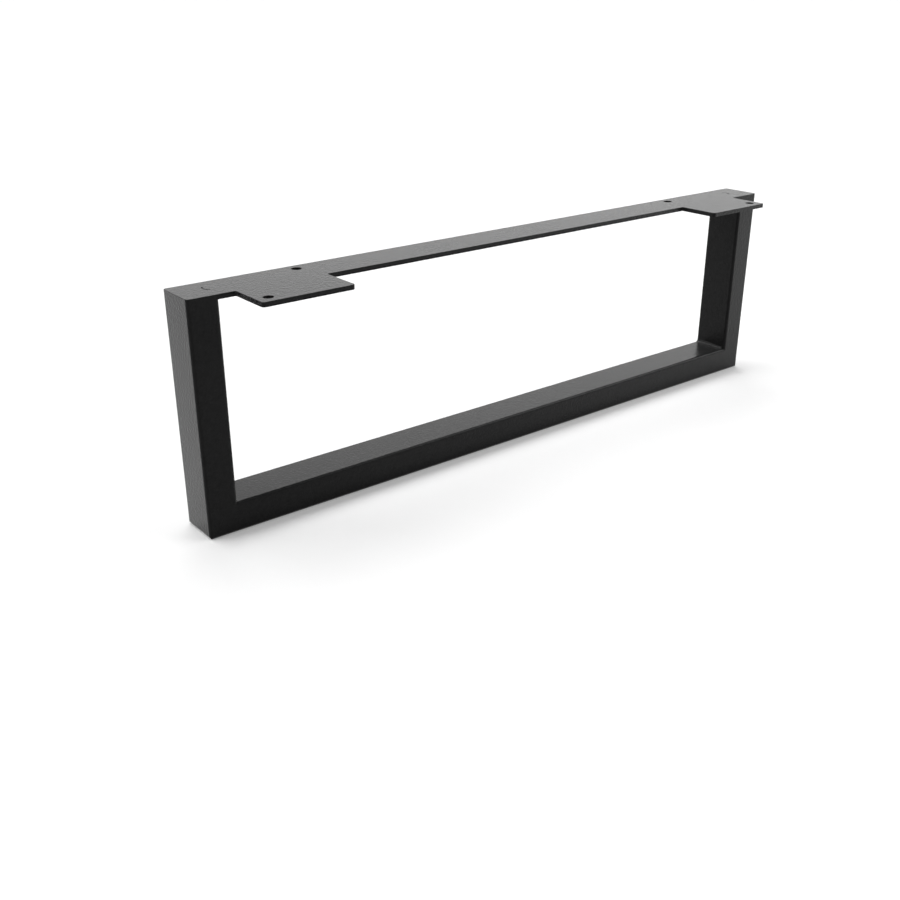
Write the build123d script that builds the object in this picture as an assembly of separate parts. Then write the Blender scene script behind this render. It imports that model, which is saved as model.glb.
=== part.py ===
from build123d import *
import os

# Low frame leg for furniture: a welded U of rectangular tube under a laser-cut mounting plate.
# Millimetres. X runs along the frame, Y to the back, Z up. The origin is the middle of the foot face.

# Whole frame, with the plate on top
frame_length = 507.0
frame_height = 150.0

# Rectangular steel tube of the uprights and the bottom rail
tube_depth = 30.0
tube_width = 20.0
tube_wall = 1.5
tube_corner_radius = 2.0
tube_bore_radius = 0.5

# Rounding of the outer bottom corners, where the mitre welds are ground flush
ground_corner_radius = 2.5

# Mounting plate: a strip over the uprights, with a pad in front near each end
plate_thickness = 3.0
plate_edge_break = 0.3
pad_offset = 30.5
pad_width = 61.0
pad_reach = 30.5
pad_corner_radius = 2.0
pad_root_radius = 1.0

# Screw holes, in two opposite corners of each pad
screw_hole_diameter = 6.5
screw_hole_inset = 8.0

# Shallow curved pit in the plate's top at each upright, left where the weld there was ground flush
pit_inset = 2.5
pit_y = 1.0
pit_radius = 4.4
pit_start_angle = 140.0
pit_sweep = 105.0
pit_width = 0.9
pit_depth = 0.35

# Weld bead in each inner bottom corner, full at the back and thinner towards the front
weld_leg = 2.3
weld_tip_leg = 1.3
weld_throat_share = 0.5
weld_back_margin = 0.8
weld_full_length = 10.0
weld_taper_length = 17.0

# Places that follow from the sizes
end_x = frame_length / 2
front_y = -tube_depth / 2
back_y = tube_depth / 2
plate_underside = frame_height - plate_thickness
corner_x = -end_x + tube_width
pad_outer_x = -end_x + pad_offset
pad_inner_x = pad_outer_x + pad_width
pad_front_y = front_y - pad_reach
weld_back_y = back_y - weld_back_margin
weld_taper_y = weld_back_y - weld_full_length
weld_tip_y = weld_taper_y - weld_taper_length


def tube_axis(start, direction):
    """Section plane of a tube run, with its local X along the depth of the frame."""
    return Plane(origin=start, x_dir=(0, 1, 0), z_dir=direction)


rail_axis = tube_axis((-end_x, 0, tube_width / 2), (1, 0, 0))
upright_axis = tube_axis((-end_x + tube_width / 2, 0, 0), (0, 0, 1))
left_mitre = Plane(origin=(-end_x, 0, 0), z_dir=(1, 0, -1))
right_mitre = Plane(origin=(end_x, 0, 0), z_dir=(-1, 0, -1))


def solid_bar(axis, length):
    """The tube's outer form, without its bore."""
    return extrude(axis * RectangleRounded(tube_depth, tube_width, tube_corner_radius), length)


def tube_run(axis, length):
    """A straight run of rectangular tube with rounded corners inside and out."""
    bore_depth = tube_depth - 2 * tube_wall
    bore_width = tube_width - 2 * tube_wall
    bore = extrude(axis * RectangleRounded(bore_depth, bore_width, tube_bore_radius), length)
    return solid_bar(axis, length) - bore


def ground_outline():
    """Block that the welded U is ground to, with its two bottom corners rounded."""
    outline = Pos(0, frame_height / 2) * Rectangle(frame_length, frame_height)
    outline = fillet(outline.vertices().group_by(Axis.Y)[0], ground_corner_radius)
    return extrude(Plane.XZ * outline, tube_depth, both=True)


def bottom_rail():
    """Rail on the floor, mitred at both ends."""
    rail = tube_run(rail_axis, frame_length)
    rail = split(rail, left_mitre, keep=Keep.TOP)
    rail = split(rail, right_mitre, keep=Keep.TOP)
    return rail & ground_outline()


def left_upright():
    """Upright from the mitre to the underside of the plate."""
    upright = tube_run(upright_axis, plate_underside)
    upright = split(upright, left_mitre, keep=Keep.BOTTOM)
    return upright & ground_outline()


def plate_outline():
    """Strip with two pads, as one closed outline with rounded corners."""
    pad_depth = back_y - pad_front_y
    left_pad = Pos(pad_outer_x, pad_front_y) * Rectangle(pad_width, pad_depth, align=Align.MIN)
    outline = Rectangle(frame_length, tube_depth) + left_pad + mirror(left_pad, Plane.YZ)
    strip_front_row = outline.vertices().group_by(Axis.Y)[1].sort_by(Axis.X)
    outline = fillet(strip_front_row[1:-1], pad_root_radius)
    ends = outline.vertices().group_by(Axis.X)
    outline = fillet(ends[0] + ends[-1], tube_corner_radius)
    return fillet(outline.vertices().group_by(Axis.Y)[0], pad_corner_radius)


def pad_screw_holes():
    """The two screw holes of the left pad, at its front outer and back inner corners."""
    hole = Circle(screw_hole_diameter / 2)
    front_outer = Pos(pad_outer_x + screw_hole_inset, pad_front_y + screw_hole_inset) * hole
    back_inner = Pos(pad_inner_x - screw_hole_inset, back_y - screw_hole_inset) * hole
    return front_outer + back_inner


def weld_pit():
    """Cutter for the curved pit just inside the left upright's inner wall."""
    centre_line = CenterArc((corner_x + pit_inset, pit_y), pit_radius, pit_start_angle, pit_sweep)
    return extrude(Pos(0, 0, frame_height) * SlotArc(centre_line, pit_width), -pit_depth)


def top_plate():
    """Laser-cut plate with its upper outer edge broken and a weld pit at each upright."""
    holes = pad_screw_holes()
    cut_sheet = plate_outline() - holes - mirror(holes, Plane.YZ)
    plate = extrude(Pos(0, 0, plate_underside) * cut_sheet, plate_thickness)
    top_face = plate.faces().sort_by(Axis.Z)[-1]
    plate = fillet(top_face.outer_wire().edges(), plate_edge_break)
    pit = weld_pit()
    return plate - pit - mirror(pit, Plane.YZ)


def weld_section(leg, y):
    """Section of the bead, a concave fillet that reaches past the tube faces to their round edges."""
    throat_offset = leg * weld_throat_share / 2 ** 0.5
    toe_on_rail = (corner_x + leg, tube_width)
    toe_on_upright = (corner_x, tube_width + leg)
    throat = (corner_x + throat_offset, tube_width + throat_offset)
    root = Polyline(
        toe_on_upright,
        (corner_x - tube_corner_radius, tube_width + leg),
        (corner_x - tube_corner_radius, tube_width - tube_corner_radius),
        (corner_x + leg, tube_width - tube_corner_radius),
        toe_on_rail,
    )
    return Plane.XZ.offset(-y) * make_face(root + ThreePointArc(toe_on_rail, throat, toe_on_upright))


def left_corner_weld():
    """Bead in the left inner corner, seated on the faces and round edges of both tubes."""
    stations = [(weld_leg, weld_back_y), (weld_leg, weld_taper_y), (weld_tip_leg, weld_tip_y)]
    bead = loft([weld_section(leg, y) for leg, y in stations], ruled=True)
    return bead - solid_bar(rail_axis, frame_length) - solid_bar(upright_axis, frame_height)


upright = left_upright()
corner_weld = left_corner_weld()

pieces = {
    "bottom_rail": bottom_rail(),
    "left_upright": upright,
    "right_upright": mirror(upright, Plane.YZ),
    "top_plate": top_plate(),
    "left_corner_weld": corner_weld,
    "right_corner_weld": mirror(corner_weld, Plane.YZ),
}

os.makedirs("parts", exist_ok=True)
for name, piece in pieces.items():
    piece.label = name
    export_step(piece, f"parts/{name}.step")
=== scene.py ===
import bpy
import math
from mathutils import Euler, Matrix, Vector


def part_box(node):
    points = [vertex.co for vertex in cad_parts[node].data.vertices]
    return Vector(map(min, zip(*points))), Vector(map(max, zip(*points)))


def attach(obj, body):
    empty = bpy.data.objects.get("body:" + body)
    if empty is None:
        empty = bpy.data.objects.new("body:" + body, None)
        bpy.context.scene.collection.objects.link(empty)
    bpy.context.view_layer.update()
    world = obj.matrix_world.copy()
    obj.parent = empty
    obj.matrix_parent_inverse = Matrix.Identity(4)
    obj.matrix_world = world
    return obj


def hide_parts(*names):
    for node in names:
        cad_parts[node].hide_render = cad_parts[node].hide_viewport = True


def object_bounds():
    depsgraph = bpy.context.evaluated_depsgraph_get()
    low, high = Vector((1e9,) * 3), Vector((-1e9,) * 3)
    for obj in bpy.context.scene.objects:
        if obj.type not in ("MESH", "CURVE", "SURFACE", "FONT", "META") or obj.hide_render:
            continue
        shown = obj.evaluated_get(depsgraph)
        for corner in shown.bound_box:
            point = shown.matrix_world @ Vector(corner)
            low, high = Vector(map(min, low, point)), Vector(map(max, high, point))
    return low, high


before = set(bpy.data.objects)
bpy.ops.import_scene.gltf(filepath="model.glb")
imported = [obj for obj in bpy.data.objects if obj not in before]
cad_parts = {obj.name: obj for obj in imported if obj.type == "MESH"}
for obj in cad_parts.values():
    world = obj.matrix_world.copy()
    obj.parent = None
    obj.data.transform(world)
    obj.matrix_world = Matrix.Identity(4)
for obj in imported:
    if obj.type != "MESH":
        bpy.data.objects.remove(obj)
cad_low, cad_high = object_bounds()

MM = 0.001

# Camera, measured from the straight edges in the photo
CAMERA_PLACE = Vector((-494.56, -547.34, 311.22)) * MM
CAMERA_YAW = 38.70
CAMERA_PITCH = 23.91
SENSOR_WIDTH = 36.0
LENS = 42.555
NEAR_CLIP = 0.01
FAR_CLIP = 100.0

# Floor and backdrop. The glow is what the camera and reflections see added to the lit floor.
FLOOR_SIZE = 60.0
FLOOR_COLOUR = (0.86, 0.86, 0.86, 1)
FLOOR_GLOW = 0.10
WHITE = (1, 1, 1, 1)
BACKDROP = 1.0
AMBIENT = 0.31

# Bank of soft key lamps above and behind, side by side along the frame
KEY_PLACE = (0, 0, 1)
KEY_STRENGTH = 0.78
KEY_SPREAD = 40.0
KEY_TILT = 29.0
KEY_LEANS = (-45.0, -22.0, 0.0, 22.0)

# Gentle soft box above the floor at the right front
BOX_PLACE = (0.9, -0.7, 0.85)
BOX_SIZE = (0.9, 0.8)
BOX_POWER = 7.0

# Black fine-texture powder coat
COAT_DARK = (0.003, 0.003, 0.0031, 1)
COAT_LIGHT = (0.010, 0.010, 0.0102, 1)
COAT_IOR = 1.48
COAT_EDGE = (0.13, 0.13, 0.13, 1)
COAT_ROUGH_LOW = 0.15
COAT_ROUGH_HIGH = 0.22
COAT_SHEEN = 0.06
COAT_SHEEN_ROUGH = 0.4
GRAIN_SCALE = 730.0
GRAIN_HEIGHT = 0.24 * MM
WAVE_SCALE = 260.0
WAVE_HEIGHT = 0.03 * MM
NOISE_DETAIL = 2.0
NOISE_FALLOFF = 0.5
BUMP_STRENGTH = 1.0

# Weld bead, a row of overlapping ripples
BEAD_LEG = 2.2 * MM
BEAD_TIP_LEG = 1.3 * MM
BEAD_END_LEG = 0.3 * MM
BEAD_FULL_LENGTH = 10.0 * MM
BEAD_ROOT = 0.35 * MM
BEAD_HOLLOW = 0.24
RIPPLE_PITCH = 1.1 * MM
RIPPLE_HEIGHT = 0.09 * MM
RIPPLE_BOW = 0.7 * MM
CAP_LENGTH = 0.9 * MM
STATION_STEP = 0.12 * MM
ARC_POINTS = 9


def make_camera():
    """Camera at the photo's viewpoint."""
    data = bpy.data.cameras.new("photo_camera")
    data.sensor_width = SENSOR_WIDTH
    data.lens = LENS
    data.clip_start = NEAR_CLIP
    data.clip_end = FAR_CLIP
    camera = bpy.data.objects.new("photo_camera", data)
    camera.location = CAMERA_PLACE
    camera.rotation_euler = (math.radians(90 - CAMERA_PITCH), 0, -math.radians(CAMERA_YAW))
    bpy.context.scene.collection.objects.link(camera)
    bpy.context.scene.camera = camera


def node(tree, kind, **inputs):
    """Adds a shader node and sets its input sockets by name."""
    made = tree.nodes.new(kind)
    for name, value in inputs.items():
        made.inputs[name.replace("_", " ")].default_value = value
    return made


def math_node(tree, operation, first, second):
    """Adds a math node fed by two other nodes and gives its output."""
    made = tree.nodes.new("ShaderNodeMath")
    made.operation = operation
    tree.links.new(first, made.inputs[0])
    tree.links.new(second, made.inputs[1])
    return made.outputs[0]


def seen_directly(tree):
    """1 for camera, glossy and transmission rays, 0 for the light that falls on surfaces."""
    rays = tree.nodes.new("ShaderNodeLightPath").outputs
    shiny = math_node(tree, "MAXIMUM", rays["Is Glossy Ray"], rays["Is Transmission Ray"])
    return math_node(tree, "MAXIMUM", rays["Is Camera Ray"], shiny)


def make_world():
    """Backdrop that shows white all round and lights the object softly."""
    world = bpy.data.worlds.new("studio")
    world.use_nodes = True
    tree = world.node_tree
    tree.nodes.clear()
    light = node(tree, "ShaderNodeBackground", Color=WHITE, Strength=AMBIENT)
    backdrop = node(tree, "ShaderNodeBackground", Color=WHITE, Strength=BACKDROP)
    mix = tree.nodes.new("ShaderNodeMixShader")
    output = tree.nodes.new("ShaderNodeOutputWorld")
    tree.links.new(seen_directly(tree), mix.inputs[0])
    tree.links.new(light.outputs[0], mix.inputs[1])
    tree.links.new(backdrop.outputs[0], mix.inputs[2])
    tree.links.new(mix.outputs[0], output.inputs["Surface"])
    bpy.context.scene.world = world


def make_floor():
    """Pale floor that shows white and keeps the object's shadow."""
    bpy.ops.mesh.primitive_plane_add(size=FLOOR_SIZE, location=(0, 0, 0))
    floor = bpy.context.object
    floor.name = "floor"
    material = bpy.data.materials.new("floor_white")
    material.use_nodes = True
    tree = material.node_tree
    tree.nodes.clear()
    paint = node(tree, "ShaderNodeBsdfDiffuse", Color=FLOOR_COLOUR)
    glow = node(tree, "ShaderNodeEmission", Color=WHITE)
    level = tree.nodes.new("ShaderNodeMath")
    level.operation = "MULTIPLY"
    level.inputs[1].default_value = FLOOR_GLOW
    total = tree.nodes.new("ShaderNodeAddShader")
    output = tree.nodes.new("ShaderNodeOutputMaterial")
    tree.links.new(seen_directly(tree), level.inputs[0])
    tree.links.new(level.outputs[0], glow.inputs["Strength"])
    tree.links.new(paint.outputs[0], total.inputs[0])
    tree.links.new(glow.outputs[0], total.inputs[1])
    tree.links.new(total.outputs[0], output.inputs["Surface"])
    floor.data.materials.append(material)


def place_lamp(data, location, rotation):
    """Puts a lamp in the scene, hidden from the camera."""
    lamp = bpy.data.objects.new(data.name, data)
    lamp.location = location
    lamp.rotation_euler = rotation
    lamp.visible_camera = False
    bpy.context.scene.collection.objects.link(lamp)


def make_key_lights():
    """Broad soft light from behind and above, as a bank of equal lamps."""
    for lean in KEY_LEANS:
        key = bpy.data.lights.new("key_light", "SUN")
        key.energy = KEY_STRENGTH
        key.angle = math.radians(KEY_SPREAD)
        aim = Euler((-math.radians(KEY_TILT), math.radians(lean), 0), "YXZ")
        place_lamp(key, KEY_PLACE, aim.to_matrix().to_euler())


def make_soft_box():
    """Gentle box at the right front, turned to the middle of the object."""
    box = bpy.data.lights.new("right_front_box", "AREA")
    box.shape = "RECTANGLE"
    box.size, box.size_y = BOX_SIZE
    box.energy = BOX_POWER
    aim = (cad_low + cad_high) / 2 - Vector(BOX_PLACE)
    place_lamp(box, BOX_PLACE, aim.to_track_quat("-Z", "Y").to_euler())


def powder_coat():
    """Satin black powder coat with a fine grain and a faint waviness."""
    material = bpy.data.materials.new("black_powder_coat")
    material.use_nodes = True
    tree = material.node_tree
    tree.nodes.clear()
    place = tree.nodes.new("ShaderNodeTexCoord")
    fineness = {"Detail": NOISE_DETAIL, "Roughness": NOISE_FALLOFF}
    grain = node(tree, "ShaderNodeTexNoise", Scale=GRAIN_SCALE, **fineness)
    waves = node(tree, "ShaderNodeTexNoise", Scale=WAVE_SCALE, **fineness)
    tone = tree.nodes.new("ShaderNodeValToRGB")
    tone.color_ramp.elements[0].color = COAT_DARK
    tone.color_ramp.elements[1].color = COAT_LIGHT
    satin = tree.nodes.new("ShaderNodeMapRange")
    satin.inputs["To Min"].default_value = COAT_ROUGH_LOW
    satin.inputs["To Max"].default_value = COAT_ROUGH_HIGH
    grain_bump = node(tree, "ShaderNodeBump", Strength=BUMP_STRENGTH, Distance=GRAIN_HEIGHT)
    wave_bump = node(tree, "ShaderNodeBump", Strength=BUMP_STRENGTH, Distance=WAVE_HEIGHT)
    coat = node(
        tree, "ShaderNodeBsdfPrincipled", IOR=COAT_IOR, Specular_Tint=COAT_EDGE,
        Sheen_Weight=COAT_SHEEN, Sheen_Roughness=COAT_SHEEN_ROUGH,
    )
    output = tree.nodes.new("ShaderNodeOutputMaterial")
    links = [
        (place.outputs["Object"], grain.inputs["Vector"]),
        (place.outputs["Object"], waves.inputs["Vector"]),
        (waves.outputs["Fac"], tone.inputs["Fac"]),
        (grain.outputs["Fac"], satin.inputs["Value"]),
        (waves.outputs["Fac"], wave_bump.inputs["Height"]),
        (grain.outputs["Fac"], grain_bump.inputs["Height"]),
        (wave_bump.outputs["Normal"], grain_bump.inputs["Normal"]),
        (tone.outputs["Color"], coat.inputs["Base Color"]),
        (satin.outputs["Result"], coat.inputs["Roughness"]),
        (grain_bump.outputs["Normal"], coat.inputs["Normal"]),
        (coat.outputs["BSDF"], output.inputs["Surface"]),
    ]
    for start, end in links:
        tree.links.new(start, end)
    return material


def dress_nodes(material):
    """Gives every steel piece the powder coat."""
    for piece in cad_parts.values():
        piece.data.materials.clear()
        piece.data.materials.append(material)


def bead_leg(distance, length):
    """Leg of the bead at a distance from its back end: full, then thinner, with round ends."""
    taper = max(0.0, (distance - BEAD_FULL_LENGTH) / (length - BEAD_FULL_LENGTH))
    leg = BEAD_LEG + (BEAD_TIP_LEG - BEAD_LEG) * taper
    to_end = min(distance, length - distance, CAP_LENGTH) / CAP_LENGTH
    roundness = math.sqrt(max(0.0, 1 - (1 - to_end) ** 2))
    return BEAD_END_LEG + (leg - BEAD_END_LEG) * roundness


def bead_station(distance, length):
    """Section of the bead away from the corner: its hidden root, then the rippled face."""
    leg = bead_leg(distance, length)
    points = [(-BEAD_ROOT, -BEAD_ROOT)]
    for step in range(ARC_POINTS):
        share = step / (ARC_POINTS - 1)
        # 0 at both toes of the bead and 1 halfway between them
        middle = 4 * share * (1 - share)
        phase = (distance - RIPPLE_BOW * middle) / RIPPLE_PITCH
        ripple = RIPPLE_HEIGHT * middle * abs(math.sin(math.pi * phase))
        rise = (ripple - BEAD_HOLLOW * leg * middle) / math.sqrt(2)
        points.append((leg * share + rise, leg * (1 - share) + rise))
    return points


def make_weld(side, name, material):
    """Rippled weld bead that stands for the plain one in one inner corner."""
    low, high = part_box(name)
    corner_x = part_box("right_upright")[0].x
    rail_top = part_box("bottom_rail")[1].z
    length = high.y - low.y
    stations = round(length / STATION_STEP)
    ring = ARC_POINTS + 1
    vertices = []
    for index in range(stations + 1):
        distance = length * index / stations
        for inward, upward in bead_station(distance, length):
            vertices.append((side * (corner_x - inward), high.y - distance, rail_top + upward))
    faces = []
    for index in range(stations):
        for point in range(ring):
            here = index * ring + point
            after = index * ring + (point + 1) % ring
            faces.append((here, after, after + ring, here + ring))
    faces.append(tuple(reversed(range(ring))))
    faces.append(tuple(range(stations * ring, (stations + 1) * ring)))
    if side < 0:
        faces = [face[::-1] for face in faces]
    mesh = bpy.data.meshes.new(name + "_bead")
    mesh.from_pydata(vertices, [], faces)
    mesh.shade_smooth()
    mesh.materials.append(material)
    bead = bpy.data.objects.new(name + "_bead", mesh)
    bpy.context.scene.collection.objects.link(bead)
    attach(bead, "root")
    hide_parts(name)


make_camera()
make_world()
make_floor()
make_key_lights()
make_soft_box()
coat = powder_coat()
dress_nodes(coat)
make_weld(-1, "left_corner_weld", coat)
make_weld(1, "right_corner_weld", coat)

bpy.context.scene.view_settings.view_transform = "Standard"
